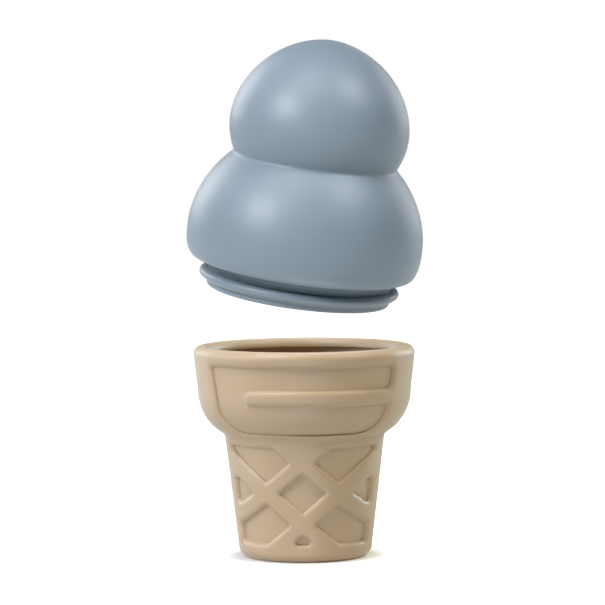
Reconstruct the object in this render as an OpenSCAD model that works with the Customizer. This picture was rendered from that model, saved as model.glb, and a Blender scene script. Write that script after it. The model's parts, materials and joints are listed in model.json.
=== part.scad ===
// Soft two-piece ice-cream sand mould: a cone cup with moulded relief and a hollow
// double-scoop top whose lip snaps under the cup's rim. Millimetres, +Z up.
// The origin is the centre of the cup's base, and the relief's front faces -Y.
// The scoop stands lifted off the cup, as when the sand is being turned out.

/* [Cone cup] */
// Height of the cup, base to the crown of the rim
cone_h = 84.6; // [70:0.1:100]
// Thickness of the cup's wall and floor
cone_wall = 3.2; // [2.4:0.1:4]
// Radius of the waist's wall, carried down to the base
base_r = 26.3; // [22:0.1:29]
// Radius of the rounded edge round the base
base_edge_r = 4.1; // [2:0.1:6]
// Radius of the waist where the shoulder starts
waist_r = 32.1; // [30:0.1:34]
// Height of the shoulder, from the waist up to the bowl's straight wall
shoulder_h = 16.9; // [13:0.1:21]
// Radius of the bowl at the top of the shoulder
bowl_r = 42.7; // [40:0.1:44]
// Height of the bowl's straight wall, from the shoulder up to the rim's round crown
bowl_h = 15.15; // [12:0.05:18]

/* [Rim] */
// Outer radius of the rim
rim_r = 44.4; // [43.4:0.1:50]
// Radius of the rim's round crown, half the rim's thickness
crown_r = 3.15; // [2.6:0.05:3.5]
// Depth of the inward rim, crown to the ledge that the lip snaps under
catch_h = 3.6; // [3.55:0.05:5]

/* [Relief] */
// Depth of the recessed panes and of the bowl's panel
relief_depth = 1.8; // [1:0.1:2.2]
// Crown of the rim down to the top edge of the bowl's panel
panel_drop = 6.4; // [5.5:0.1:9]
// Top of the waist up to the bottom edge of the bowl's panel
panel_foot = 1.9; // [1.5:0.1:5]
// Height of the round lower corners of the bowl's panel
panel_corner_h = 13.2; // [8:0.1:16]
// Width of the round lower corners of the bowl's panel
panel_corner_w = 12.5; // [8:0.1:16]
// Height of the raised bar across the bowl's panel
rib_h = 5.9; // [4:0.1:8]
// Top of the waist down to the top edge of the waffle
waffle_drop = 3.8; // [3:0.1:8]
// Base up to the bottom edge of the waffle
waffle_foot = 7.1; // [5:0.1:10]
// Side of the waist in to the side edge of the waffle, seen from the front
waffle_side = 4.2; // [3:0.1:8]
// Width of the waffle's diagonal bars
lattice_bar_w = 6.6; // [4:0.1:8]

/* [Scoop] */
// Thickness of the scoop's wall
scoop_wall = 3.2; // [2.4:0.1:4]
// Overhang of the lower scoop past the cup's rim
scoop_overhang = 2.9; // [2:0.1:6]
// Height of the lower scoop's widest circle above its flat underside
belly_z = 12.6; // [8:0.1:16]
// Height of the lower scoop's dome above its widest circle
dome_h = 44.5; // [38:0.1:50]
// Radius of the upper scoop
ball_r = 35.9; // [33:0.1:38]
// Height of the upper scoop's widest circle above the underside
ball_z = 56.8; // [52:0.1:62]
// Height of the upper scoop above its widest circle
ball_top_h = 35.0; // [32:0.1:40]
// Depth of the upper scoop below its widest circle
ball_low_h = 31.4; // [28:0.1:36]

/* [Snap lip] */
// Thickness of the lip
lip_t = 3.9; // [2.8:0.1:4.8]
// Radius of the lip's rounded top edge
lip_edge_r = 1.5; // [0.8:0.1:1.8]
// Taper of the lip's face, from its top edge in to its foot
lip_taper = 2.2; // [1.6:0.1:3]
// Height of the step ring under the lip
step_h = 2.5; // [1.5:0.1:4]
// Radius of the step ring's rounded lower edge
step_edge_r = 1.4; // [0.4:0.1:1.5]

/* [Clearances] */
// Gap between the seated underside and the crown of the rim
seat_gap = 0.3; // [0.2:0.05:0.6]
// Gap between the neck and the mouth of the cup, round the neck
neck_gap = 1.2; // [1:0.05:2]
// Gap between the seated lip and the bowl's wall, round the lip
lip_gap = 0.85; // [0.4:0.05:1.2]
// Gap between the seated lip and the ledge above it
lip_play = 0.5; // [0.3:0.05:1]

/* [Lifted pose] */
// Turn that lifts the seated scoop to where it stands (0 is seated)
lift_angle = 10.5; // [0:0.5:10.5]
// Plan heading of the axis that the scoop swings about, from +X
lift_heading = 50.9; // [0:0.1:360]
// Distance of that axis from the cup's own axis
pole_reach = 167; // [140:1:200]
// Height of that axis above the seated underside
pole_rise = 22.6; // [10:0.1:40]

/* [Hidden] */
$fn = 120;
cone_colour = "#c9b39c";
scoop_colour = "#98a6b7";

// Cuts run past the faces that they open by this much
overrun = 2;
// Steps along each curved stretch of a section
curve_steps = 14;
crown_steps = 20;
edge_steps = 8;

// Roundness of the curves: 2 is an ellipse, more is squarer, less is more pointed
shoulder_power = 1.9;
corner_power = 2.7;
dome_power = 1.91;
ball_power = 1.88;
panel_power = 1.85;
ellipse_power = 2;

// Shares of the sizes that the details follow
shoulder_hub_share = 0.85;
panel_top_share = 0.8;
panel_low_share = 0.775;
rib_z_share = 0.556;
rib_end_share = 0.669;
lattice_z_share = 0.531;
crossing_rise_share = 0.323;
crossing_side_share = 0.549;

// Cup: the mouth, the ledge and the seat that the scoop takes its sizes from
rim_z = cone_h - crown_r;
mouth_r = rim_r - 2 * crown_r;
crown_mid_r = rim_r - crown_r;
catch_z = cone_h - catch_h;
seat_z = cone_h + seat_gap;
bowl_z = rim_z - bowl_h;
waist_z = bowl_z - shoulder_h;
hub_r = waist_r * shoulder_hub_share;
taper = (waist_r - base_r) / waist_z;
base_wall_r = base_r + taper * base_edge_r;
base_flat_r = base_wall_r - base_edge_r;

// Scoop: the neck passes the mouth, and the lip fits the bowl under the ledge
neck_r = mouth_r - neck_gap;
throat_r = neck_r - scoop_wall;
neck_h = seat_gap + catch_h + lip_play;
lip_top_z = seat_z - neck_h;
lip_r = bowl_inner_r(lip_top_z) - lip_gap;
scoop_r = rim_r + scoop_overhang;

// Relief: the frames of the bowl's panel and of the waffle, seen from the front
panel_top_z = cone_h - panel_drop;
panel_low_z = waist_z + panel_foot;
corner_z = panel_low_z + panel_corner_h;
panel_top_w = bowl_outer_r(panel_top_z) * panel_top_share;
panel_low_w = bowl_outer_r(corner_z) * panel_low_share;
rib_z = panel_low_z + (panel_top_z - panel_low_z) * rib_z_share;
waffle_top_z = waist_z - waffle_drop;
waffle_h = waffle_top_z - waffle_foot;
lattice_z = waffle_foot + waffle_h * lattice_z_share;
crossing_rise = waffle_h * crossing_rise_share;
crossing_side = waffle_half_w(lattice_z) * crossing_side_share;
lattice_angle = atan2(crossing_rise, crossing_side);
lattice_bar_l = 2 * (waist_r + waffle_h);

// Point i of a quarter curve of half-axes a and c, from its side (0) to its top
function quarter(a, c, power, i, steps) =
    let (t = 90 * i / steps)
    [a * pow(cos(t), 2 / power), c * pow(sin(t), 2 / power)];

// Angle at which a quarter curve is as far from its axis as the given share
function quarter_start(share, power) = acos(pow(max(0, min(1, share)), power / 2));

// Radius of the straight walls of the waist and of the bowl
function waist_outer_r(z) = base_r + taper * z;
function bowl_outer_r(z) = bowl_r + (rim_r - bowl_r) * (z - bowl_z) / bowl_h;
function bowl_inner_r(z) = bowl_outer_r(z) - cone_wall;
function waffle_half_w(z) = waist_outer_r(z) - waffle_side;

// Shoulder curve, from the waist up to the bowl, set in from the outside by inset
function shoulder(inset) =
    let (
        a = bowl_r - hub_r - inset,
        start = quarter_start((waist_r - hub_r) / (bowl_r - hub_r), shoulder_power),
        c = shoulder_h / pow(sin(start), 2 / shoulder_power) - inset,
        own_start = quarter_start((waist_r - inset - hub_r) / a, shoulder_power)
    )
    [for (i = [curve_steps : -1 : 0])
        let (t = own_start * i / curve_steps)
        [hub_r + a * pow(cos(t), 2 / shoulder_power),
            bowl_z - c * pow(sin(t), 2 / shoulder_power)]];

// Rounded edge round the base, from the flat face to the wall
base_edge = [for (i = [0 : edge_steps])
    let (t = 90 * i / edge_steps)
    [base_flat_r + base_edge_r * sin(t), base_edge_r * (1 - cos(t))]];

// Round crown of the rim, from the outside over to the mouth
crown = [for (i = [0 : crown_steps])
    let (t = 180 * i / crown_steps)
    [crown_mid_r + crown_r * cos(t), rim_z + crown_r * sin(t)]];

// Half section of the cup's wall, floor and inward rim
module cup_section() {
    inner = shoulder(cone_wall);
    polygon(concat(
        [[0, 0]],
        base_edge,
        shoulder(0),
        crown,
        [[mouth_r, catch_z], [bowl_inner_r(catch_z), catch_z]],
        [for (i = [len(inner) - 1 : -1 : 0]) inner[i]],
        [[waist_outer_r(cone_wall) - cone_wall, cone_wall], [0, cone_wall]]
    ));
}

// Half section of the skin that the relief is cut into
module skin_section() {
    low_z = waffle_foot - overrun;
    outside = concat(
        [[waist_outer_r(low_z), low_z]],
        shoulder(0),
        [[bowl_outer_r(rim_z), rim_z]]
    );
    polygon(concat(
        [for (p = outside) [p[0] + overrun, p[1]]],
        [for (i = [len(outside) - 1 : -1 : 0]) [outside[i][0] - relief_depth, outside[i][1]]]
    ));
}

// Bowl's panel seen from the front, with the raised bar left standing in it
module panel_outline() {
    corner = [for (i = [0 : edge_steps])
        quarter(panel_corner_w, panel_corner_h, panel_power, i, edge_steps)];
    hub_w = panel_low_w - panel_corner_w;
    half = concat(
        [[panel_top_w, panel_top_z]],
        [for (p = corner) [hub_w + p[0], corner_z - p[1]]]
    );
    difference() {
        polygon(concat(half, [for (i = [len(half) - 1 : -1 : 0]) [-half[i][0], half[i][1]]]));
        rib_outline();
    }
}

// Raised bar: a round free end on the left, running into the frame on the right
module rib_outline() {
    end_x = -panel_low_w * rib_end_share + rib_h / 2;
    translate([end_x, rib_z])
        circle(d = rib_h);
    translate([end_x, rib_z - rib_h / 2])
        square([panel_top_w + overrun - end_x, rib_h]);
}

// Diagonal bar of the waffle through a crossing, rising to the right for side 1
module lattice_bar(x, z, side) {
    translate([x, z])
        rotate(side * lattice_angle)
            square([lattice_bar_l, lattice_bar_w], center = true);
}

// Panes of the waffle seen from the front: the frame less its diagonal bars
module waffle_outline() {
    top_w = waffle_half_w(waffle_top_z);
    low_w = waffle_half_w(waffle_foot);
    web_z = lattice_z + crossing_rise;
    difference() {
        polygon([
            [-low_w, waffle_foot], [low_w, waffle_foot],
            [top_w, waffle_top_z], [-top_w, waffle_top_z]
        ]);
        for (side = [-1, 1], x = [-crossing_side, crossing_side])
            lattice_bar(x, lattice_z, side);
        translate([-lattice_bar_w / 2, web_z])
            square([lattice_bar_w, waffle_top_z - web_z + overrun]);
    }
}

// Recesses of one face of the cup
module relief_cut() {
    intersection() {
        rotate_extrude()
            skin_section();
        rotate([90, 0, 0])
            linear_extrude(height = rim_r + overrun)
                union() {
                    panel_outline();
                    waffle_outline();
                }
    }
}

// Half section of the scoop, filled, set in from its outside by inset
module scoop_section(inset) {
    corner = [for (i = [0 : curve_steps])
        quarter(scoop_r - crown_mid_r - inset, belly_z - inset, corner_power, i, curve_steps)];
    dome = [for (i = [1 : curve_steps])
        quarter(scoop_r - inset, dome_h - inset, dome_power, i, curve_steps)];
    polygon(concat(
        [[0, inset]],
        [for (i = [curve_steps : -1 : 0]) [crown_mid_r + corner[i][0], belly_z - corner[i][1]]],
        [for (p = dome) [p[0], belly_z + p[1]]]
    ));
    ball_low = [for (i = [0 : curve_steps])
        quarter(ball_r - inset, ball_low_h - inset, ellipse_power, i, curve_steps)];
    ball_top = [for (i = [1 : curve_steps])
        quarter(ball_r - inset, ball_top_h - inset, ball_power, i, curve_steps)];
    polygon(concat(
        [for (i = [curve_steps : -1 : 0]) [ball_low[i][0], ball_z - ball_low[i][1]]],
        [for (p = ball_top) [p[0], ball_z + p[1]]]
    ));
}

// Round top edge of the lip, from its flat top over to its tapering face
lip_edge = let (
        foot = [lip_edge_r - lip_taper, lip_edge_r - lip_t],
        turn = atan2(foot[1], foot[0]) + acos(lip_edge_r / norm(foot)) - 90
    )
    [for (i = [0 : edge_steps])
        let (t = 90 + turn * i / edge_steps)
        [lip_r - lip_edge_r * (1 - cos(t)), -neck_h - lip_edge_r * (1 - sin(t))]];

// Half section of the lip and of the step ring under it, filled
module lip_section() {
    foot_z = -neck_h - lip_t;
    step_z = foot_z - step_h;
    step_edge = [for (i = [0 : edge_steps])
        quarter(step_edge_r, step_edge_r, ellipse_power, i, edge_steps)];
    polygon(concat(
        [[0, -neck_h]],
        lip_edge,
        [[lip_r - lip_taper, foot_z], [neck_r, foot_z]],
        [for (p = step_edge) [neck_r - step_edge_r + p[0], step_z + step_edge_r - p[1]]],
        [[0, step_z]]
    ));
}

// Swings what is drawn on the seat up to where the lifted scoop stands
module lifted() {
    pole = [pole_reach * sin(lift_heading), -pole_reach * cos(lift_heading), seat_z + pole_rise];
    translate(pole)
        rotate(a = lift_angle, v = [cos(lift_heading), sin(lift_heading), 0])
            translate(-pole)
                translate([0, 0, seat_z])
                    children();
}

// Cone cup: one hollow moulding with the same relief on its front and its back
module cone_cup() {
    color(cone_colour)
        difference() {
            rotate_extrude()
                cup_section();
            for (turn = [0, 180])
                rotate(turn)
                    relief_cut();
        }
}

// Scoop: a thin hollow shell, open at the neck
module scoop_shell() {
    color(scoop_colour)
        lifted()
            rotate_extrude()
                difference() {
                    union() {
                        scoop_section(0);
                        translate([0, -neck_h])
                            square([neck_r, neck_h + scoop_wall]);
                    }
                    scoop_section(scoop_wall);
                    translate([0, -neck_h - overrun])
                        square([throat_r, neck_h + overrun + belly_z]);
                }
}

// Snap lip: the flexible flange and step ring at the foot of the scoop's neck
module snap_lip() {
    color(scoop_colour)
        lifted()
            rotate_extrude()
                difference() {
                    lip_section();
                    translate([0, -neck_h - lip_t - step_h - overrun])
                        square([throat_r, lip_t + step_h + 2 * overrun]);
                }
}

cone_cup();
scoop_shell();
snap_lip();
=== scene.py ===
import json
import logging
import math
from dataclasses import dataclass, field
from enum import Enum

import bmesh
import bpy
import numpy as np
from mathutils import Matrix, Vector
from mathutils.geometry import delaunay_2d_cdt


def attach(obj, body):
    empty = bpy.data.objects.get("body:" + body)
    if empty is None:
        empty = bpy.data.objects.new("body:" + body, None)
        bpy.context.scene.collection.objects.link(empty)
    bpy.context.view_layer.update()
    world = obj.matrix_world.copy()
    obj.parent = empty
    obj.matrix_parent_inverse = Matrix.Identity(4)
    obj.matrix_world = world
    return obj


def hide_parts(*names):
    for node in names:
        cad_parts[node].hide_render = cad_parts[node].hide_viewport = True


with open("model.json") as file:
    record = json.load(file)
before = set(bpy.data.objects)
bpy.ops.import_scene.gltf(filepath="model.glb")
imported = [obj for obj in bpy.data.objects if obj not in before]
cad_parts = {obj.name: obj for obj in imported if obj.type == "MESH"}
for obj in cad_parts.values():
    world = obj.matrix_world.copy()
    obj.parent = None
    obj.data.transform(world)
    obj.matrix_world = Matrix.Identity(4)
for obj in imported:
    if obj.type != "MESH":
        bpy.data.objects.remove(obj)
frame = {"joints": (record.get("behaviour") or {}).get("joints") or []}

MM = 0.001
# Points nearer than this are joined.
WELD = 0.01 * MM
# Height of the seated scoop's underside, in millimetres.
SEAT_Z = 84.9
# Steps of each rounded corner, and the most of a side that its arc takes up.
ARC_STEPS = 5
ARC_SHARE = 0.45
# Sides shorter than this have no corner to round.
NO_LENGTH = 1e-9
# Kind of result of the triangle mesher that keeps every triangle, and its join distance.
ALL_TRIANGLES = 0
MESH_JOIN = 1e-7
PHOTO_PX = 605

log = logging.getLogger("sand_mould")

Point = tuple[float, float]
Profile = list[Point]


class Body(Enum):
    """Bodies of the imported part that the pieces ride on."""

    CONE = "cone"
    SCOOP = "scoop"


class Slot(Enum):
    """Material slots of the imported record."""

    CONE = "cone_silicone"
    SCOOP = "scoop_silicone"


class Edge(Enum):
    """Kinds of relief edge, by how far each one rounds over, in millimetres."""

    RIM = 3.0
    BAR = 2.5
    FRAME = 2.4


def quarter(a: float, c: float, power: float, steps: int) -> Profile:
    """Points of a quarter curve, from its side to its top.

    Args:
        a: Half-axis across.
        c: Half-axis up.
        power: Roundness: 2 is an ellipse, more is squarer, less is more pointed.
        steps: Number of steps along the curve.

    Returns:
        Points relative to the curve's centre.
    """
    turns = [math.pi / 2 * i / steps for i in range(steps + 1)]
    bend = 2 / power
    return [(a * math.cos(t) ** bend, c * max(0.0, math.sin(t)) ** bend) for t in turns]


def quarter_reach(a: float, c: float, power: float, rise: float) -> float:
    """Distance of a quarter curve from its axis at a height above its centre.

    Args:
        a: Half-axis across.
        c: Half-axis up.
        power: Roundness of the curve.
        rise: Height above the centre.

    Returns:
        The distance, or zero past the end of the curve.
    """
    return a * max(0.0, 1 - (max(0.0, rise) / c) ** power) ** (1 / power)


def soft_max(a: float, b: float, reach: float) -> float:
    """Larger of two values, with the corner where they cross filled in softly.

    Args:
        a: First value.
        b: Second value.
        reach: Difference of the values within which they blend.

    Returns:
        The blended larger value.
    """
    blend = max(reach - abs(a - b), 0.0) / reach
    return max(a, b) + blend * blend * reach / 4


def rounded(points: Profile, radius: float, closed: bool, least_turn: float = 25.0) -> Profile:
    """Rounds the sharp corners of a path.

    Args:
        points: Corners of the path.
        radius: Radius of the arcs, less where a corner has no room for it.
        closed: Whether the path runs back to its start.
        least_turn: Corners that turn by fewer degrees than this stay as they are.

    Returns:
        The path with an arc in place of each sharp corner.
    """
    count = len(points)
    path: Profile = []
    for i, corner in enumerate(points):
        here = Vector(corner)
        back = Vector(points[i - 1]) - here
        ahead = Vector(points[(i + 1) % count]) - here
        is_end = not closed and i in (0, count - 1)
        if is_end or min(back.length, ahead.length) < NO_LENGTH:
            path.append(corner)
            continue
        between = back.angle(ahead)
        if math.degrees(math.pi - between) < least_turn:
            path.append(corner)
            continue
        room = ARC_SHARE * back.length, ARC_SHARE * ahead.length
        run = min(radius / math.tan(between / 2), *room)
        bend = run * math.tan(between / 2)
        middle = (back.normalized() + ahead.normalized()).normalized()
        centre = here + middle * (bend / math.sin(between / 2))
        start = here + back.normalized() * run - centre
        end = here + ahead.normalized() * run - centre
        sweep = start.angle_signed(end)
        for k in range(ARC_STEPS + 1):
            spoke = Matrix.Rotation(-sweep * k / ARC_STEPS, 2) @ start
            path.append(tuple(centre + spoke))
    return path


def spaced(points: Profile, step: float) -> Profile:
    """Adds points along the sides of a closed outline.

    Args:
        points: Corners of the outline.
        step: Greatest distance between two points.

    Returns:
        The outline with its long sides divided.
    """
    path: Profile = []
    for i, (x0, z0) in enumerate(points):
        x1, z1 = points[(i + 1) % len(points)]
        parts = max(1, math.ceil(math.hypot(x1 - x0, z1 - z0) / step))
        path += [(x0 + (x1 - x0) * k / parts, z0 + (z1 - z0) * k / parts) for k in range(parts)]
    return path


def clipped(points: Profile, normal: Point, limit: float) -> Profile:
    """Part of a convex outline where a point's product with the normal is at least the limit.

    Args:
        points: Corners of the outline.
        normal: Direction in which the kept part lies.
        limit: Smallest product that is kept.

    Returns:
        Corners of the kept part, empty where nothing is left.
    """
    path: Profile = []
    for i, (x0, z0) in enumerate(points):
        x1, z1 = points[(i + 1) % len(points)]
        a = x0 * normal[0] + z0 * normal[1] - limit
        b = x1 * normal[0] + z1 * normal[1] - limit
        if a >= 0:
            path.append((x0, z0))
        if (a < 0) != (b < 0):
            share = a / (a - b)
            path.append((x0 + (x1 - x0) * share, z0 + (z1 - z0) * share))
    return path


def area(points: Profile) -> float:
    """Area of an outline, positive where it runs anticlockwise."""
    pairs = zip(points, points[1:] + points[:1])
    return sum(x0 * z1 - x1 * z0 for (x0, z0), (x1, z1) in pairs) / 2


def inside(outline: np.ndarray, spots: np.ndarray) -> np.ndarray:
    """Which spots lie inside an outline.

    Args:
        outline: Corners of a closed outline, one a row.
        spots: Points to test, one a row.

    Returns:
        True for each spot inside.
    """
    found = np.zeros(len(spots), bool)
    ahead = np.roll(outline, -1, 0)
    for (x0, y0), (x1, y1) in zip(outline, ahead):
        if y0 == y1:
            continue
        across = (y0 > spots[:, 1]) != (y1 > spots[:, 1])
        found ^= across & (spots[:, 0] < x0 + (x1 - x0) * (spots[:, 1] - y0) / (y1 - y0))
    return found


@dataclass(frozen=True)
class SiliconeFinish:
    """Matte moulded silicone: a soft mottle, a fine grain and a broad dull sheen."""

    name: str
    light: tuple[float, float, float]
    dark: tuple[float, float, float]
    mottle_per_m: float = 34.0
    mottle_detail: float = 3.0
    fine_detail: float = 2.0
    grain_per_m: float = 2600.0
    swell_per_m: float = 160.0
    grain_depth: float = 0.03 * MM
    swell_depth: float = 0.05 * MM
    least_roughness: float = 0.42
    most_roughness: float = 0.5
    refraction: float = 1.5
    gloss: float = 0.65
    sheen: float = 0.3
    sheen_roughness: float = 0.35

    def material(self) -> bpy.types.Material:
        """Builds the finish from nodes on Object coordinates.

        Returns:
            The new material.
        """
        made = bpy.data.materials.new(self.name)
        made.use_nodes = True
        nodes, links = made.node_tree.nodes, made.node_tree.links
        shader = nodes["Principled BSDF"]
        place = nodes.new("ShaderNodeTexCoord")

        def noise(scale: float, detail: float) -> bpy.types.Node:
            """Noise on the piece's own coordinates, at so many cells a metre."""
            node = nodes.new("ShaderNodeTexNoise")
            node.inputs["Scale"].default_value = scale
            node.inputs["Detail"].default_value = detail
            links.new(place.outputs["Object"], node.inputs["Vector"])
            return node

        mottle = noise(self.mottle_per_m, self.mottle_detail)
        tint = nodes.new("ShaderNodeMix")
        tint.data_type = "RGBA"
        tint.inputs["A"].default_value = (*self.dark, 1.0)
        tint.inputs["B"].default_value = (*self.light, 1.0)
        links.new(mottle.outputs["Fac"], tint.inputs["Factor"])
        links.new(tint.outputs["Result"], shader.inputs["Base Color"])

        grain = noise(self.grain_per_m, self.fine_detail)
        dull = nodes.new("ShaderNodeMapRange")
        dull.inputs["To Min"].default_value = self.least_roughness
        dull.inputs["To Max"].default_value = self.most_roughness
        links.new(grain.outputs["Fac"], dull.inputs["Value"])
        links.new(dull.outputs["Result"], shader.inputs["Roughness"])

        swell = noise(self.swell_per_m, self.fine_detail)
        swell_bump = self._bump(made, swell, self.swell_depth, None)
        grain_bump = self._bump(made, grain, self.grain_depth, swell_bump)
        links.new(grain_bump.outputs["Normal"], shader.inputs["Normal"])

        shader.inputs["IOR"].default_value = self.refraction
        shader.inputs["Specular IOR Level"].default_value = self.gloss
        shader.inputs["Sheen Weight"].default_value = self.sheen
        shader.inputs["Sheen Roughness"].default_value = self.sheen_roughness
        return made

    @staticmethod
    def _bump(
        made: bpy.types.Material,
        height: bpy.types.Node,
        depth: float,
        under: bpy.types.Node | None,
    ) -> bpy.types.Node:
        """Adds a bump of a given depth.

        Args:
            made: Material that gets the bump.
            height: Noise that gives the height.
            depth: Depth in metres.
            under: Bump that this one lies on, if any.

        Returns:
            The bump node.
        """
        bump = made.node_tree.nodes.new("ShaderNodeBump")
        bump.inputs["Distance"].default_value = depth
        made.node_tree.links.new(height.outputs["Fac"], bump.inputs["Height"])
        if under:
            made.node_tree.links.new(under.outputs["Normal"], bump.inputs["Normal"])
        return bump


@dataclass
class Lathe:
    """Turns a half section about the Z axis with Geometry Nodes."""

    segments: int = 240
    tree: bpy.types.NodeTree = field(init=False)

    def __post_init__(self) -> None:
        """Builds the tree once for all the turned pieces."""
        self.tree = self._grow()

    def _grow(self) -> bpy.types.NodeTree:
        """Builds the tree: a grid whose rows are the section, set round the axis.

        Returns:
            The tree, with its sizes as named inputs.
        """
        tree = bpy.data.node_groups.new("turned_section", "GeometryNodeTree")
        for name, kind in (
            ("Section", "NodeSocketGeometry"),
            ("Segments", "NodeSocketInt"),
            ("Weld Distance", "NodeSocketFloat"),
            ("Finish", "NodeSocketMaterial"),
        ):
            tree.interface.new_socket(name, in_out="INPUT", socket_type=kind)
        tree.interface.new_socket("Turned", in_out="OUTPUT", socket_type="NodeSocketGeometry")
        nodes, link = tree.nodes, tree.links.new
        given = nodes.new("NodeGroupInput").outputs
        count = nodes.new("GeometryNodeAttributeDomainSize")
        link(given["Section"], count.inputs["Geometry"])

        def whole(
            operation: str, a: bpy.types.NodeSocket, b: bpy.types.NodeSocket | int
        ) -> bpy.types.NodeSocket:
            """Whole-number sum of two sockets, or of a socket and a number."""
            node = nodes.new("FunctionNodeIntegerMath")
            node.operation = operation
            link(a, node.inputs[0])
            if isinstance(b, int):
                node.inputs[1].default_value = b
            else:
                link(b, node.inputs[1])
            return node.outputs[0]

        rows = count.outputs["Point Count"]
        grid = nodes.new("GeometryNodeMeshGrid")
        link(whole("ADD", given["Segments"], 1), grid.inputs["Vertices X"])
        link(rows, grid.inputs["Vertices Y"])
        index = nodes.new("GeometryNodeInputIndex").outputs["Index"]
        on_section = nodes.new("GeometryNodeSampleIndex")
        on_section.data_type = "FLOAT_VECTOR"
        link(given["Section"], on_section.inputs["Geometry"])
        link(nodes.new("GeometryNodeInputPosition").outputs["Position"], on_section.inputs["Value"])
        link(whole("MODULO", index, rows), on_section.inputs["Index"])
        share = nodes.new("ShaderNodeMath")
        share.operation = "DIVIDE"
        link(whole("DIVIDE_FLOOR", index, rows), share.inputs[0])
        link(given["Segments"], share.inputs[1])
        angle = nodes.new("ShaderNodeMath")
        angle.operation = "MULTIPLY"
        angle.inputs[1].default_value = math.tau
        link(share.outputs["Value"], angle.inputs[0])
        turn = nodes.new("ShaderNodeVectorRotate")
        turn.rotation_type = "Z_AXIS"
        link(on_section.outputs["Value"], turn.inputs["Vector"])
        link(angle.outputs["Value"], turn.inputs["Angle"])
        place = nodes.new("GeometryNodeSetPosition")
        link(grid.outputs["Mesh"], place.inputs["Geometry"])
        link(turn.outputs["Vector"], place.inputs["Position"])
        last, made = place, {}
        for kind in ("MergeByDistance", "SetShadeSmooth", "RealizeInstances", "SetMaterial"):
            made[kind] = nodes.new("GeometryNode" + kind)
            link(last.outputs["Geometry"], made[kind].inputs["Geometry"])
            last = made[kind]
        link(given["Weld Distance"], made["MergeByDistance"].inputs["Distance"])
        link(given["Finish"], made["SetMaterial"].inputs["Material"])
        link(last.outputs["Geometry"], nodes.new("NodeGroupOutput").inputs["Turned"])
        return tree

    def turn(self, section: Profile, finish: bpy.types.Material) -> bpy.types.Mesh:
        """Turns a half section into a plain mesh.

        Args:
            section: Points of distance from the axis and height, in millimetres.
            finish: Material of the mesh.

        Returns:
            The turned mesh, in metres.
        """
        outline = bpy.data.meshes.new("section")
        outline.from_pydata([(0.0, -r * MM, z * MM) for r, z in section], [], [])
        holder = bpy.data.objects.new("section", outline)
        bpy.context.scene.collection.objects.link(holder)
        turner = holder.modifiers.new("turn", "NODES")
        turner.node_group = self.tree
        values = {"Segments": self.segments, "Weld Distance": WELD, "Finish": finish}
        for item in self.tree.interface.items_tree:
            if item.in_out == "INPUT" and item.name in values:
                turner[item.identifier] = values[item.name]
        graph = bpy.context.evaluated_depsgraph_get()
        turned = bpy.data.meshes.new_from_object(holder.evaluated_get(graph))
        holder.modifiers.remove(turner)
        bpy.data.objects.remove(holder)
        bpy.data.meshes.remove(outline)
        return turned


def piece(name: str, body: Body, mesh: bpy.types.Mesh) -> bpy.types.Object:
    """Puts a finished mesh in the scene in place of its CAD node.

    Args:
        name: Name of the CAD node that the piece stands for.
        body: Body that it rides on.
        mesh: Its mesh, in place.

    Returns:
        The new object.
    """
    mesh.name = name + "_skin"
    made = bpy.data.objects.new(name + "_skin", mesh)
    bpy.context.scene.collection.objects.link(made)
    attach(made, body.value)
    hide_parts(name)
    log.info("%s: %d faces on body %s", made.name, len(mesh.polygons), body.value)
    return made


def tidied(mesh: bpy.types.Mesh) -> bpy.types.Mesh:
    """Welds a closed mesh, turns its faces outwards and shades it smooth.

    Args:
        mesh: Mesh to tidy, changed in place.

    Returns:
        The same mesh.
    """
    work = bmesh.new()
    work.from_mesh(mesh)
    bmesh.ops.remove_doubles(work, verts=work.verts, dist=WELD)
    bmesh.ops.recalc_face_normals(work, faces=work.faces)
    open_edges = sum(1 for edge in work.edges if len(edge.link_faces) != 2)
    for face in work.faces:
        face.smooth = True
    work.to_mesh(mesh)
    work.free()
    log.info("%s: %d open edges", mesh.name, open_edges)
    return mesh


@dataclass
class Wall:
    """Outer wall of the cup, unrolled to turn about the axis and length up the wall."""

    heights: np.ndarray
    radii: np.ndarray
    lengths: np.ndarray = field(init=False)

    def __post_init__(self) -> None:
        """Measures the length up the wall at each height."""
        steps = np.hypot(np.diff(self.heights), np.diff(self.radii))
        self.lengths = np.concatenate([[0.0], np.cumsum(steps)])

    def unroll(self, outline: Profile, depth: float) -> np.ndarray:
        """Lays an outline that is drawn from the front on the wall, at a depth.

        Args:
            outline: Points across and up, in millimetres.
            depth: Depth below the wall's face.

        Returns:
            Turn and length up the wall of each point.
        """
        x, z = np.array(outline).T
        floor = np.interp(z, self.heights, self.radii) - depth
        turns = np.arcsin(np.clip(x / floor, -1, 1))
        return np.stack([turns, np.interp(z, self.heights, self.lengths)], 1)

    def radius(self, lengths: np.ndarray) -> np.ndarray:
        """Radius of the wall at lengths up it."""
        return np.interp(lengths, self.lengths, self.radii)

    def spread(self, ring: np.ndarray, offset: np.ndarray) -> np.ndarray:
        """Moves each point of an anticlockwise ring outwards along the wall.

        Args:
            ring: Turn and length of each point.
            offset: Distance for each point, in millimetres.

        Returns:
            The moved ring.
        """
        along = np.roll(ring, -1, 0) - np.roll(ring, 1, 0)
        radius = self.radius(ring[:, 1])
        across = along[:, 0] * radius
        run = np.hypot(across, along[:, 1])
        return ring + np.stack([along[:, 1] / run * offset / radius, -across / run * offset], 1)

    def place(self, spots: np.ndarray, depths: np.ndarray) -> np.ndarray:
        """Points in space at a turn, a length and a depth, in metres."""
        reach = self.radius(spots[:, 1]) - depths
        height = np.interp(spots[:, 1], self.lengths, self.heights)
        x, y = reach * np.sin(spots[:, 0]), -reach * np.cos(spots[:, 0])
        return np.stack([x, y, height], 1) * MM


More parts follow.
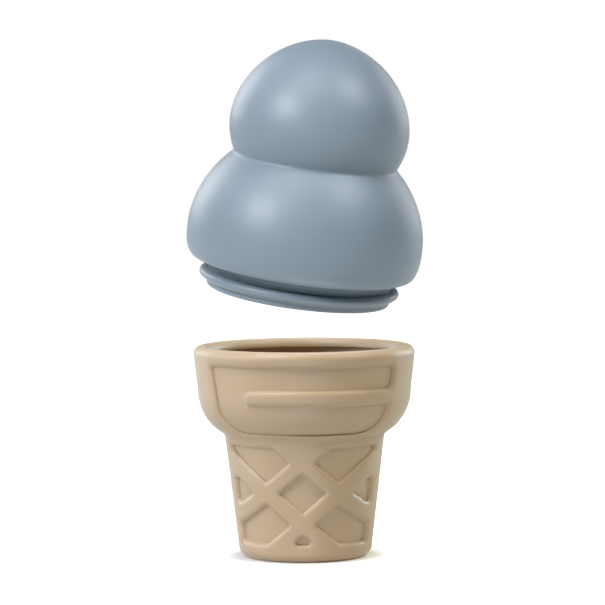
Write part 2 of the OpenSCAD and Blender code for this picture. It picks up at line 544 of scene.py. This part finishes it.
@dataclass
class Recess:
    """One recess in the wall: rings from its floor, up its rounded side, to the face."""

    rings: list[np.ndarray]
    depths: list[float]

    @classmethod
    def sunk(
        cls,
        wall: Wall,
        outline: Profile,
        edges: np.ndarray,
        depth: float,
        foot: float = 0.35,
    ) -> "Recess":
        """Sinks an outline into the wall.

        Args:
            wall: Wall that it is sunk into.
            outline: Outline of its floor, drawn from the front.
            edges: How far the edge rounds over at each point.
            depth: Depth of the floor.
            foot: Radius of the hollow at the foot of its side.

        Returns:
            The recess.
        """
        foot_steps, side_steps = 3, 7
        base = wall.unroll(outline, depth)
        rings: list[np.ndarray] = []
        depths: list[float] = []
        for k in range(foot_steps):
            t = math.pi / 2 * k / foot_steps
            rings.append(wall.spread(base, np.full(len(base), -foot * (1 - math.sin(t)))))
            depths.append(depth - foot * (1 - math.cos(t)))
        for k in range(side_steps + 1):
            t = math.pi / 2 * k / side_steps
            rings.append(wall.spread(base, edges * (1 - math.cos(t))))
            depths.append((depth - foot) * (1 - math.sin(t)))
        return cls(rings, depths)


@dataclass
class ReliefBand:
    """Front half of the cup's wall as a mesh, with its recesses."""

    wall: Wall
    recesses: list[Recess]
    columns: int
    row_h: float = 1.1
    clear: float = 0.5

    def build(self) -> tuple[np.ndarray, list[tuple[int, ...]]]:
        """Meshes the faces and floors with even triangles, and the sides with strips.

        Returns:
            Points in metres, and faces.
        """
        scale = float(np.mean(self.wall.radii))
        stretch = np.array([scale, 1.0])
        spots, depths, edges = self._border()
        border_count = len(spots)
        for recess in self.recesses:
            for ring, depth in ((recess.rings[0], recess.depths[0]), (recess.rings[-1], 0.0)):
                first = len(spots)
                spots = np.concatenate([spots, ring])
                depths = np.concatenate([depths, np.full(len(ring), depth)])
                edges += [(first + i, first + (i + 1) % len(ring)) for i in range(len(ring))]
        grid, grid_depths = self._grid(stretch)
        spots, depths = np.concatenate([spots, grid]), np.concatenate([depths, grid_depths])
        flat = [Vector(p) for p in spots * stretch]
        _, _, triangles, origins, _, _ = delaunay_2d_cdt(
            flat, edges, [], ALL_TRIANGLES, MESH_JOIN
        )
        source = [ids[0] for ids in origins]
        faces = [tuple(source[v] for v in t) for t in triangles]
        middles = np.array([sum(spots[v] for v in f) / len(f) for f in faces])
        keep = np.ones(len(faces), bool)
        for recess in self.recesses:
            keep &= ~inside(recess.rings[-1], middles) | inside(recess.rings[0], middles)
        faces = [f for f, kept in zip(faces, keep) if kept]
        first = border_count
        for recess in self.recesses:
            count = len(recess.rings[0])
            floor, face = first, first + count
            first += 2 * count
            rows = [floor]
            for ring, depth in zip(recess.rings[1:-1], recess.depths[1:-1]):
                rows.append(len(spots))
                spots = np.concatenate([spots, ring])
                depths = np.concatenate([depths, np.full(count, depth)])
            rows.append(face)
            for low, high in zip(rows, rows[1:]):
                for i in range(count):
                    j = (i + 1) % count
                    faces.append((low + i, high + i, high + j, low + j))
        return self.wall.place(spots, depths), faces

    def _rows(self) -> np.ndarray:
        """Lengths up the wall of the rows of points."""
        count = round(self.wall.lengths[-1] / self.row_h)
        return np.linspace(0.0, self.wall.lengths[-1], count + 1)

    def _border(self) -> tuple[np.ndarray, np.ndarray, list[tuple[int, int]]]:
        """Points round the edge of the half wall, in order, with the edges between them."""
        turns = np.linspace(-math.pi / 2, math.pi / 2, self.columns + 1)
        rows = self._rows()
        low = [(t, rows[0]) for t in turns]
        right = [(turns[-1], s) for s in rows[1:-1]]
        high = [(t, rows[-1]) for t in turns[::-1]]
        left = [(turns[0], s) for s in rows[-2:0:-1]]
        spots = np.array(low + right + high + left)
        count = len(spots)
        return spots, np.zeros(count), [(i, (i + 1) % count) for i in range(count)]

    def _grid(self, stretch: np.ndarray) -> tuple[np.ndarray, np.ndarray]:
        """Staggered points on the face and on the floors, clear of the recesses' sides.

        Args:
            stretch: Factors that make turn and length even.

        Returns:
            The points and their depths.
        """
        step = math.pi / self.columns
        points = []
        for k, row in enumerate(self._rows()[1:-1]):
            shift = 0.5 if k % 2 else 1.0
            count = self.columns - (0 if k % 2 else 1)
            points += [(-math.pi / 2 + step * (i + shift), row) for i in range(count)]
        spots = np.array(points)
        depths, keep = np.zeros(len(spots)), np.ones(len(spots), bool)
        for recess in self.recesses:
            floor, face = recess.rings[0], recess.rings[-1]
            on_floor = inside(floor, spots)
            depths[on_floor] = recess.depths[0]
            keep &= on_floor | ~inside(face, spots)
            for ring in (floor, face):
                for spot in ring:
                    keep &= np.hypot(*((spots - spot) * stretch).T) > self.clear
        return spots[keep], depths[keep]


@dataclass
class ConeCup:
    """Cone cup: a hollow moulding with a panel and a waffle on its front and its back."""

    height: float = 84.6
    wall: float = 3.2
    base_r: float = 26.3
    base_edge_r: float = 4.1
    waist_r: float = 32.1
    shoulder_h: float = 16.9
    bowl_r: float = 42.7
    bowl_h: float = 15.15
    rim_r: float = 44.4
    crown_r: float = 3.15
    catch_h: float = 3.6
    shoulder_power: float = 1.9
    shoulder_hub: float = 0.85
    waist_fillet: float = 2.5
    bowl_bend: float = 3.0
    relief_depth: float = 1.8
    panel_drop: float = 6.4
    panel_foot: float = 1.9
    panel_corner_h: float = 13.2
    panel_corner_w: float = 12.5
    panel_power: float = 1.85
    panel_top: float = 0.8
    panel_low: float = 0.775
    rib_h: float = 5.9
    rib_place: float = 0.556
    rib_end: float = 0.669
    waffle_drop: float = 3.8
    waffle_foot: float = 7.1
    waffle_side: float = 4.2
    lattice_bar_w: float = 6.6
    lattice_place: float = 0.531
    crossing_rise: float = 0.323
    crossing_side: float = 0.549
    point_step: float = 0.6
    wall_step: float = 0.2
    corner_steps: int = 16
    panel_round: float = 1.3
    rib_junction: float = 2.0
    rib_tip_steps: int = 20
    edge_near: float = 0.1
    bar_clear: float = 1.0
    pane_round: float = 0.9
    least_pane: float = 2.0
    base_rings: tuple[float, ...] = (0.0, 0.5, 0.9)
    base_edge_steps: int = 12
    crown_steps: int = 24
    ledge_round: float = 0.4
    undercut_h: float = 2.0
    lining_drop: float = 3.0
    lining_foot: float = 8.0
    bowl_rows: int = 26
    waist_rows: int = 10
    floor_r: float = 20.0
    floor_round: float = 2.0

    @property
    def rim_z(self) -> float:
        """Height of the middle of the rim's round crown."""
        return self.height - self.crown_r

    @property
    def bowl_z(self) -> float:
        """Height of the top of the shoulder."""
        return self.rim_z - self.bowl_h

    @property
    def waist_z(self) -> float:
        """Height of the top of the waist."""
        return self.bowl_z - self.shoulder_h

    def waist_wall(self, z: float) -> float:
        """Radius of the waist's straight wall at a height."""
        return self.base_r + (self.waist_r - self.base_r) * z / self.waist_z

    def bowl_wall(self, z: float) -> float:
        """Radius of the bowl's straight wall at a height."""
        return self.bowl_r + (self.rim_r - self.bowl_r) * (z - self.bowl_z) / self.bowl_h

    def shoulder(self, z: float, inset: float = 0.0) -> float:
        """Radius of the shoulder's curve at a height.

        Args:
            z: Height, below the top of the shoulder.
            inset: Thickness that the curve is set in by.

        Returns:
            The radius, or zero past the end of the curve.
        """
        hub = self.waist_r * self.shoulder_hub
        across = self.bowl_r - hub
        share = (self.waist_r - hub) / across
        drop = self.shoulder_h / (1 - share**self.shoulder_power) ** (1 / self.shoulder_power)
        reach = quarter_reach(across - inset, drop - inset, self.shoulder_power, self.bowl_z - z)
        return hub + reach if reach else 0.0

    def face(self, z: float, inset: float = 0.0) -> float:
        """Radius of the wall at a height, with soft bends at the waist and at the bowl.

        Args:
            z: Height.
            inset: Thickness that the wall's face is set in by.

        Returns:
            The radius.
        """
        above = z - self.bowl_z
        bend = self.bowl_bend
        flare = above if above > bend else max(above + bend, 0.0) ** 2 / (4 * bend)
        curve = self.shoulder(min(z, self.bowl_z), inset)
        wall = soft_max(self.waist_wall(z) - inset, curve, self.waist_fillet)
        return wall + flare * (self.rim_r - self.bowl_r) / self.bowl_h

    def lining(self, z: float) -> float:
        """Radius of the inside at a height."""
        return self.face(z, self.wall)

    def panel(self) -> tuple[Profile, np.ndarray]:
        """Floor of the bowl's panel, round the raised bar, drawn from the front.

        Returns:
            Its outline, and how far its edge rounds over at each point.
        """
        top_z = self.height - self.panel_drop
        low_z = self.waist_z + self.panel_foot
        corner_z = low_z + self.panel_corner_h
        top_w = self.bowl_wall(top_z) * self.panel_top
        low_w = self.bowl_wall(corner_z) * self.panel_low
        hub = low_w - self.panel_corner_w
        curve = quarter(
            self.panel_corner_w, self.panel_corner_h, self.panel_power, self.corner_steps
        )
        right = [(top_w, top_z)] + [(hub + x, corner_z - z) for x, z in curve]
        rib_z = low_z + (top_z - low_z) * self.rib_place
        rib_r = self.rib_h / 2
        joint = rib_r + self.rib_junction

        def side(z: float) -> float:
            """Half width of the panel at a height."""
            heights = [p[1] for p in reversed(right)]
            return float(np.interp(z, heights, [p[0] for p in reversed(right)]))

        tip_x = -low_w * self.rib_end
        tip_w = rib_r * math.cos(math.asin(tip_x / (self.face(rib_z) - self.relief_depth)))
        end = tip_x + tip_w
        half = self.rib_tip_steps // 2
        tip = [math.pi / 2 * (1 + k / half) for k in range(self.rib_tip_steps, -1, -1)]
        rib = [(end + tip_w * math.cos(t), rib_z + rib_r * math.sin(t)) for t in tip]
        above = [p for p in right if p[1] > rib_z + joint]
        below = [p for p in right if p[1] < rib_z - joint]
        outline = [(side(rib_z + rib_r), rib_z + rib_r)] + above[::-1]
        outline += [(-x, z) for x, z in right]
        outline += below[::-1] + [(side(rib_z - rib_r), rib_z - rib_r)] + rib
        outline = spaced(rounded(outline, self.panel_round, True), self.point_step)
        kinds = [Edge.FRAME] * len(outline)
        near = self.edge_near
        for i, (x, z) in enumerate(outline):
            on_bar = abs(z - rib_z) < rib_r + near and x > tip_x - near
            if z > top_z - near:
                kinds[i] = Edge.RIM
            elif on_bar and abs(x) < side(z) - self.bar_clear:
                kinds[i] = Edge.BAR
        return outline, self._eased(np.array([k.value for k in kinds]))

    @staticmethod
    def _eased(widths: np.ndarray, reach: int = 4) -> np.ndarray:
        """Widths round an outline with their steps smoothed out."""
        return np.mean([np.roll(widths, k) for k in range(-reach, reach + 1)], 0)

    def panes(self) -> list[Profile]:
        """Floors of the waffle's panes, between its diagonal bars, drawn from the front.

        Returns:
            Their outlines.
        """
        top_z = self.waist_z - self.waffle_drop
        middle = self.waffle_foot + (top_z - self.waffle_foot) * self.lattice_place
        rise = (top_z - self.waffle_foot) * self.crossing_rise
        side = (self.waist_wall(middle) - self.waffle_side) * self.crossing_side
        slope = math.atan2(rise, side)
        top_w = self.waist_wall(top_z) - self.waffle_side
        low_w = self.waist_wall(self.waffle_foot) - self.waffle_side
        foot_z = self.waffle_foot
        border = [(-low_w, foot_z), (low_w, foot_z), (top_w, top_z), (-top_w, top_z)]
        found: list[Profile] = [border]
        bars = [(lean, x) for lean in (-1, 1) for x in (-side, side)]
        for lean, x in bars:
            normal = (-lean * math.sin(slope), math.cos(slope))
            level = normal[0] * x + normal[1] * middle
            parts: list[Profile] = []
            for outline in found:
                for way in (-1, 1):
                    limit = way * level + self.lattice_bar_w / 2
                    part = clipped(outline, (way * normal[0], way * normal[1]), limit)
                    if len(part) > 2:
                        parts.append(part)
            found = parts
        web_z = middle + rise
        half = self.lattice_bar_w / 2
        panes = [p for p in found if not all(abs(x) < half and z > web_z for x, z in p)]
        panes = [p for p in panes if abs(area(p)) > self.least_pane]
        return [p if area(p) > 0 else p[::-1] for p in panes]

    def build(self, lathe: Lathe, finish: bpy.types.Material) -> bpy.types.Object:
        """Builds the cup.

        Args:
            lathe: Turns its base, rim and inside.
            finish: Its material.

        Returns:
            The finished piece.
        """
        low, high = self.base_edge_r, self.rim_z
        heights = np.arange(low, high, self.wall_step)
        heights = np.append(heights[heights < high - self.wall_step / 4], high)
        wall = Wall(heights, np.array([self.face(z) for z in heights]))
        outline, edges = self.panel()
        recesses = [Recess.sunk(wall, outline, edges, self.relief_depth)]
        for pane in self.panes():
            path = spaced(rounded(pane, self.pane_round, True), self.point_step)
            edges = np.full(len(path), Edge.FRAME.value)
            recesses.append(Recess.sunk(wall, path, edges, self.relief_depth))
        spots, faces = ReliefBand(wall, recesses, lathe.segments // 2).build()
        mesh = bpy.data.meshes.new("cone_cup")
        back = len(spots)
        points = np.concatenate([spots, spots * np.array([-1.0, -1.0, 1.0])])
        both = faces + [tuple(v + back for v in f) for f in faces]
        mesh.from_pydata([tuple(p) for p in points], [], both)
        mesh.materials.append(finish)
        work = bmesh.new()
        work.from_mesh(mesh)
        for section in (self.foot_section(), self.rim_section()):
            turned = lathe.turn(section, finish)
            work.from_mesh(turned)
            bpy.data.meshes.remove(turned)
        work.to_mesh(mesh)
        work.free()
        return piece("cone_cup", Body.CONE, tidied(mesh))

    def foot_section(self) -> Profile:
        """Half section of the flat base and the rounded edge round it."""
        wall_r = self.waist_wall(self.base_edge_r)
        edge_r, steps = self.base_edge_r, self.base_edge_steps
        flat_r = wall_r - edge_r
        turns = [math.pi / 2 * k / steps for k in range(steps + 1)]
        edge = [(flat_r + edge_r * math.sin(t), edge_r * (1 - math.cos(t))) for t in turns]
        return [(flat_r * share, 0.0) for share in self.base_rings] + edge

    def rim_section(self) -> Profile:
        """Half section of the crown, the ledge under it, the inside and the floor."""
        crown_r, steps = self.crown_r, self.crown_steps
        middle = self.rim_r - crown_r
        turns = [math.pi * k / steps for k in range(steps + 1)]
        crown = [
            (middle + crown_r * math.cos(t), self.rim_z + crown_r * math.sin(t)) for t in turns
        ]
        mouth = self.rim_r - 2 * crown_r
        ledge = self.height - self.catch_h
        under = ledge - self.undercut_h
        undercut = [
            crown[-1],
            (mouth, ledge),
            (self.lining(ledge), ledge),
            (self.lining(under), under),
        ]
        bowl_rows = np.linspace(ledge - self.lining_drop, self.waist_z, self.bowl_rows)
        waist_rows = np.linspace(self.waist_z, self.lining_foot, self.waist_rows)
        inner = [(self.lining(z), z) for z in np.concatenate([bowl_rows, waist_rows[1:]])]
        floor = [inner[-1], (self.lining(self.wall), self.wall), (self.floor_r, self.wall)]
        section = crown[:-1] + rounded(undercut, self.ledge_round, False) + inner[:-1]
        return section + rounded(floor, self.floor_round, False) + [(0.0, self.wall)]


@dataclass
class ScoopShell:
    """Scoop top: a hollow double scoop with a flat underside and a narrower neck."""

    wall: float = 3.2
    radius: float = 47.3
    corner_r: float = 41.25
    belly_z: float = 12.6
    corner_power: float = 2.7
    dome_h: float = 44.5
    dome_power: float = 1.91
    ball_r: float = 35.9
    ball_z: float = 56.8
    ball_top_h: float = 35.0
    ball_power: float = 1.88
    ball_low_h: float = 31.4
    ball_low_power: float = 2.0
    crease_fillet: float = 1.2
    crease_band: float = 4.0
    neck_r: float = 36.9
    neck_h: float = 4.4
    neck_round: float = 0.7
    throat_round: float = 0.8
    steps: int = 40
    corner_steps: int = 16
    crease_rows: int = 24
    ball_rows: int = 14

    def body(self, inset: float, fillet: float) -> Profile:
        """Outside of the two scoops, from the underside up to the top.

        Args:
            inset: Thickness that it is set in by.
            fillet: Softness of the crease between the scoops.

        Returns:
            Points of distance from the axis and height.
        """
        corner_w = self.radius - self.corner_r - inset
        corner = quarter(corner_w, self.belly_z - inset, self.corner_power, self.corner_steps)
        path = [(self.corner_r + x, self.belly_z - z) for x, z in reversed(corner)]
        dome = (self.radius - inset, self.dome_h - inset, self.dome_power)
        low = (self.ball_r - inset, self.ball_low_h - inset, self.ball_low_power)
        top = (self.ball_r - inset, self.ball_top_h - inset, self.ball_power)

        def dome_reach(z: float) -> float:
            """Distance of the lower scoop from the axis at a height."""
            return quarter_reach(*dome, z - self.belly_z)

        def ball_reach(z: float) -> float:
            """Distance of the upper scoop's lower half from the axis at a height."""
            return quarter_reach(*low, self.ball_z - z)

        levels = [self.belly_z + z for _, z in quarter(*dome, self.steps)]
        crease = next(z for z in levels if ball_reach(z) > dome_reach(z))
        crease_low, crease_high = crease - self.crease_band, crease + self.crease_band
        levels = [z for z in levels[1:] if z < crease_low]
        levels += list(np.linspace(crease_low, crease_high, self.crease_rows))
        levels += list(np.linspace(crease_high, self.ball_z, self.ball_rows)[1:])
        path += [(soft_max(dome_reach(z), ball_reach(z), fillet), z) for z in levels]
        return path + [(x, self.ball_z + z) for x, z in quarter(*top, self.steps)[1:]]

    def build(self, lathe: Lathe, finish: bpy.types.Material, lift: Matrix) -> bpy.types.Object:
        """Builds the scoop where it stands.

        Args:
            lathe: Turns its section.
            finish: Its material.
            lift: Carries it from its own upright frame to where it stands.

        Returns:
            The finished piece.
        """
        outer, inner = self.body(0.0, self.crease_fillet), self.body(self.wall, self.crease_fillet)
        throat, foot_z = self.neck_r - self.wall, -self.neck_h
        side = [(self.neck_r, foot_z), (self.neck_r, 0.0), outer[0]]
        neck = [(throat, foot_z)] + rounded(side, self.neck_round, False)
        bore = [(throat, foot_z), (throat, self.wall), inner[0]]
        hollow = rounded(bore, self.throat_round, False)
        section = neck + outer[1:] + inner[::-1] + hollow[::-1][1:]
        mesh = lathe.turn(section, finish)
        mesh.transform(lift)
        return piece("scoop_shell", Body.SCOOP, tidied(mesh))


@dataclass
class SnapLip:
    """Flexible lip and step ring at the foot of the scoop's neck."""

    radius: float = 40.244
    thickness: float = 3.9
    edge_r: float = 1.5
    taper: float = 2.2
    step_h: float = 2.5
    step_edge_r: float = 1.4
    step_start: float = 0.6
    nook_r: float = 0.25
    edge_points: int = 15
    top_z: float = -4.4
    neck_r: float = 36.9
    throat_r: float = 33.7

    def section(self) -> Profile:
        """Half section of the ring, run round to its start."""
        foot_z = self.top_z - self.thickness
        step_z = foot_z - self.step_h
        edge = self._edge()
        nook = [
            edge[-1],
            (self.radius - self.taper, foot_z),
            (self.neck_r, foot_z),
            (self.neck_r, step_z),
        ]
        low = [
            (self.neck_r, foot_z - self.step_start),
            (self.neck_r, step_z),
            (self.throat_r, step_z),
            (self.throat_r, self.top_z),
        ]
        path = [(self.throat_r, self.top_z)] + edge + rounded(nook, self.nook_r, False)[1:-1]
        return path + rounded(low, self.step_edge_r, False)

    def _edge(self) -> Profile:
        """Round top edge of the lip, from its flat top over to its tapering face."""
        foot = (self.edge_r - self.taper, self.edge_r - self.thickness)
        end = math.atan2(foot[1], foot[0]) + math.acos(self.edge_r / math.hypot(*foot))
        side, level = self.radius - self.edge_r, self.top_z - self.edge_r
        turns = np.linspace(math.pi / 2, end, self.edge_points)
        edge_r = self.edge_r
        return [(side + edge_r * math.cos(t), level + edge_r * math.sin(t)) for t in turns]

    def build(self, lathe: Lathe, finish: bpy.types.Material, lift: Matrix) -> bpy.types.Object:
        """Builds the lip where it stands.

        Args:
            lathe: Turns its section.
            finish: Its material.
            lift: Carries it from the scoop's upright frame to where it stands.

        Returns:
            The finished piece.
        """
        mesh = lathe.turn(self.section(), finish)
        mesh.transform(lift)
        return piece("snap_lip", Body.SCOOP, tidied(mesh))


class Lit(Enum):
    """What a light falls on, by the names of the objects."""

    CUP = ("cone_cup_skin", "floor")
    CUP_ALONE = ("cone_cup_skin",)
    SCOOP = ("scoop_shell_skin", "snap_lip_skin")


@dataclass(frozen=True)
class Softbox:
    """One soft studio light, hung at a turn and a rise round the mould's middle.

    A light that isn't blocked by the whole scene is shaded only by what it falls on.
    """

    name: str
    lit: Lit
    turn_deg: float
    rise_deg: float
    size: float
    power: float
    colour: tuple[float, float, float] = (1.0, 1.0, 1.0)
    blocked: bool = True
    distance: float = 1.6
    middle: tuple[float, float, float] = (0.0, 0.0, 0.12)

    def build(self) -> None:
        """Hangs the light and turns it to the mould's middle."""
        lamp = bpy.data.lights.new(self.name, "AREA")
        lamp.energy = self.power
        lamp.color = self.colour
        lamp.size = self.size
        turn, rise = math.radians(self.turn_deg), math.radians(self.rise_deg)
        level = math.cos(rise)
        way = Vector((math.sin(turn) * level, -math.cos(turn) * level, math.sin(rise)))
        holder = bpy.data.objects.new(self.name, lamp)
        holder.location = Vector(self.middle) + way * self.distance
        holder.rotation_euler = way.to_track_quat("Z", "Y").to_euler()
        bpy.context.scene.collection.objects.link(holder)
        lit = bpy.data.collections.new(self.name + "_lit")
        for name in self.lit.value:
            lit.objects.link(bpy.data.objects[name])
        holder.light_linking.receiver_collection = lit
        if not self.blocked:
            holder.light_linking.blocker_collection = lit


@dataclass
class Studio:
    """Plain white floor, with a painted glow seen away from the base, in a white room, with soft
    lights for each piece.
    """

    floor_half: float = 4.0
    floor_drop: float = 0.1 * MM
    floor_colour: tuple[float, float, float] = (0.95, 0.95, 0.95)
    glow_start: float = 0.022
    glow_full: float = 0.042
    room: float = 1.0
    lights: list[Softbox] = field(
        default_factory=lambda: [
            Softbox("cup_left", Lit.CUP, -45.0, 39.0, 0.7, 9.0, (0.92, 0.95, 1.0)),
            Softbox("cup_side", Lit.CUP, -76.0, 15.0, 0.8, 13.0, (0.86, 0.91, 1.0)),
            Softbox(
                "cup_right", Lit.CUP, 64.0, 44.0, 0.45, 11.5, (1.0, 0.94, 0.72), blocked=False
            ),
            Softbox(
                "cup_mouth", Lit.CUP_ALONE, -40.0, 58.0, 0.6, 18.0, (0.98, 0.97, 1.0), blocked=False
            ),
            Softbox(
                "cup_low", Lit.CUP_ALONE, 0.0, -35.0, 0.8, 5.0, (1.0, 0.97, 1.0), blocked=False
            ),
            Softbox(
                "cup_top", Lit.CUP_ALONE, 180.0, 65.0, 0.8, 12.0, (0.9, 0.96, 1.0), blocked=False
            ),
            Softbox("cup_edge_left", Lit.CUP, -130.0, 12.0, 0.8, 8.5, (0.84, 0.96, 1.0)),
            Softbox("cup_edge_right", Lit.CUP, 130.0, 12.0, 0.8, 13.0, (0.8, 0.95, 1.0)),
            Softbox("scoop_left", Lit.SCOOP, -45.0, 33.0, 0.45, 19.5),
            Softbox("scoop_top", Lit.SCOOP, -20.0, 65.0, 0.8, 9.0),
            Softbox("scoop_right", Lit.SCOOP, 62.0, 50.0, 0.5, 12.0),
            Softbox("scoop_edge_left", Lit.SCOOP, -135.0, 22.0, 0.8, 10.0),
            Softbox("scoop_edge_right", Lit.SCOOP, 140.0, 15.0, 0.8, 6.0),
            Softbox("scoop_under", Lit.SCOOP, 0.0, -80.0, 0.8, 6.0, blocked=False),
        ]
    )

    def build(self) -> None:
        """Lays the floor, lights the room and hangs the lights."""
        self._floor()
        self._room()
        for light in self.lights:
            light.build()
        bpy.context.scene.view_settings.view_transform = "Standard"

    def _floor(self) -> None:
        """Lays the floor just under the base; away from the base's own shadow it glows white to the
        camera alone, a painted glow that whites out the lights' cast shadows.
        """
        h, z = self.floor_half, -self.floor_drop
        mesh = bpy.data.meshes.new("floor")
        mesh.from_pydata([(-h, -h, z), (h, -h, z), (h, h, z), (-h, h, z)], [], [(0, 1, 2, 3)])
        paint = bpy.data.materials.new("floor_white_glow")
        paint.use_nodes = True
        nodes, link = paint.node_tree.nodes, paint.node_tree.links.new
        shader = nodes["Principled BSDF"]
        shader.inputs["Base Color"].default_value = (*self.floor_colour, 1.0)
        shader.inputs["Specular IOR Level"].default_value = 0.0
        shader.inputs["Emission Color"].default_value = (1.0, 1.0, 1.0, 1.0)
        reach = nodes.new("ShaderNodeVectorMath")
        reach.operation = "LENGTH"
        link(nodes.new("ShaderNodeTexCoord").outputs["Object"], reach.inputs[0])
        # Painted glow: seen by the camera alone, from none near the base to full further out,
        # whiting out cast shadows.
        glow = nodes.new("ShaderNodeMapRange")
        glow.interpolation_type = "SMOOTHSTEP"
        glow.inputs["From Min"].default_value = self.glow_start
        glow.inputs["From Max"].default_value = self.glow_full
        link(nodes.new("ShaderNodeLightPath").outputs["Is Camera Ray"], glow.inputs["To Max"])
        link(reach.outputs["Value"], glow.inputs["Value"])
        link(glow.outputs["Result"], shader.inputs["Emission Strength"])
        mesh.materials.append(paint)
        floor = bpy.data.objects.new("floor", mesh)
        bpy.context.scene.collection.objects.link(floor)

    def _room(self) -> None:
        """Paints the room white where it is seen; the light comes from the lights alone."""
        room = bpy.data.worlds.new("studio")
        bpy.context.scene.world = room
        room.use_nodes = True
        nodes, link = room.node_tree.nodes, room.node_tree.links.new
        nodes["Background"].inputs["Color"].default_value = (self.room, self.room, self.room, 1.0)
        seen = nodes.new("ShaderNodeLightPath")
        link(seen.outputs["Is Camera Ray"], nodes["Background"].inputs["Strength"])


@dataclass
class PhotoCamera:
    """Camera at the photograph's viewing angle."""

    turn_deg: float = 2.0
    place: tuple[float, float, float] = (-0.48, -1280.0, 178.0)
    dip_deg: float = 3.418
    roll_deg: float = 0.43
    focal_px: float = 3200.0
    sensor_mm: float = 36.0

    def build(self) -> None:
        """Sets the camera up."""
        turn = Matrix.Rotation(math.radians(self.turn_deg), 3, "Z")
        dip, roll = math.radians(self.dip_deg), math.radians(self.roll_deg)
        ahead = turn @ Vector((0.0, math.cos(dip), -math.sin(dip)))
        level = turn @ Vector((1.0, 0.0, 0.0))
        right = level * math.cos(roll) - level.cross(ahead) * math.sin(roll)
        up = right.cross(ahead)
        lens = bpy.data.cameras.new("photo_camera")
        lens.sensor_width = self.sensor_mm
        lens.sensor_fit = "HORIZONTAL"
        lens.lens = self.sensor_mm * self.focal_px / PHOTO_PX
        holder = bpy.data.objects.new("photo_camera", lens)
        stand = Matrix((right, up, -ahead)).transposed().to_4x4()
        stand.translation = turn @ Vector(self.place) * MM
        holder.matrix_world = stand
        bpy.context.scene.collection.objects.link(holder)
        bpy.context.scene.camera = holder


def scoop_lift(seat_z: float) -> Matrix:
    """Carries the scoop from its own upright frame to where it stands lifted.

    Args:
        seat_z: Height of the seated scoop's underside, in millimetres.

    Returns:
        The transform, in metres.
    """
    joint = next(j for j in frame["joints"] if j["child"] == Body.SCOOP.value)
    pole = Matrix.Translation(joint["pos_m"])
    swing = Matrix.Rotation(-math.radians(joint["range_deg"][0]), 4, Vector(joint["axis"]))
    return pole @ swing @ pole.inverted() @ Matrix.Translation((0.0, 0.0, seat_z * MM))


def main() -> None:
    """Builds the mould, the studio and the camera."""
    logging.basicConfig(level=logging.INFO, format="%(name)s: %(message)s")
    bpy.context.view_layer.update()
    beige = SiliconeFinish("beige_silicone", (0.435, 0.32, 0.205), (0.41, 0.3, 0.19))
    blue_grey = SiliconeFinish("blue_grey_silicone", (0.222, 0.285, 0.355), (0.21, 0.272, 0.34))
    beige_made, blue_made = beige.material(), blue_grey.material()
    lathe = Lathe()
    lift = scoop_lift(SEAT_Z)
    ConeCup().build(lathe, beige_made)
    ScoopShell().build(lathe, blue_made, lift)
    SnapLip().build(lathe, blue_made, lift)
    Studio().build()
    PhotoCamera().build()


if __name__ == "__main__":
    main()
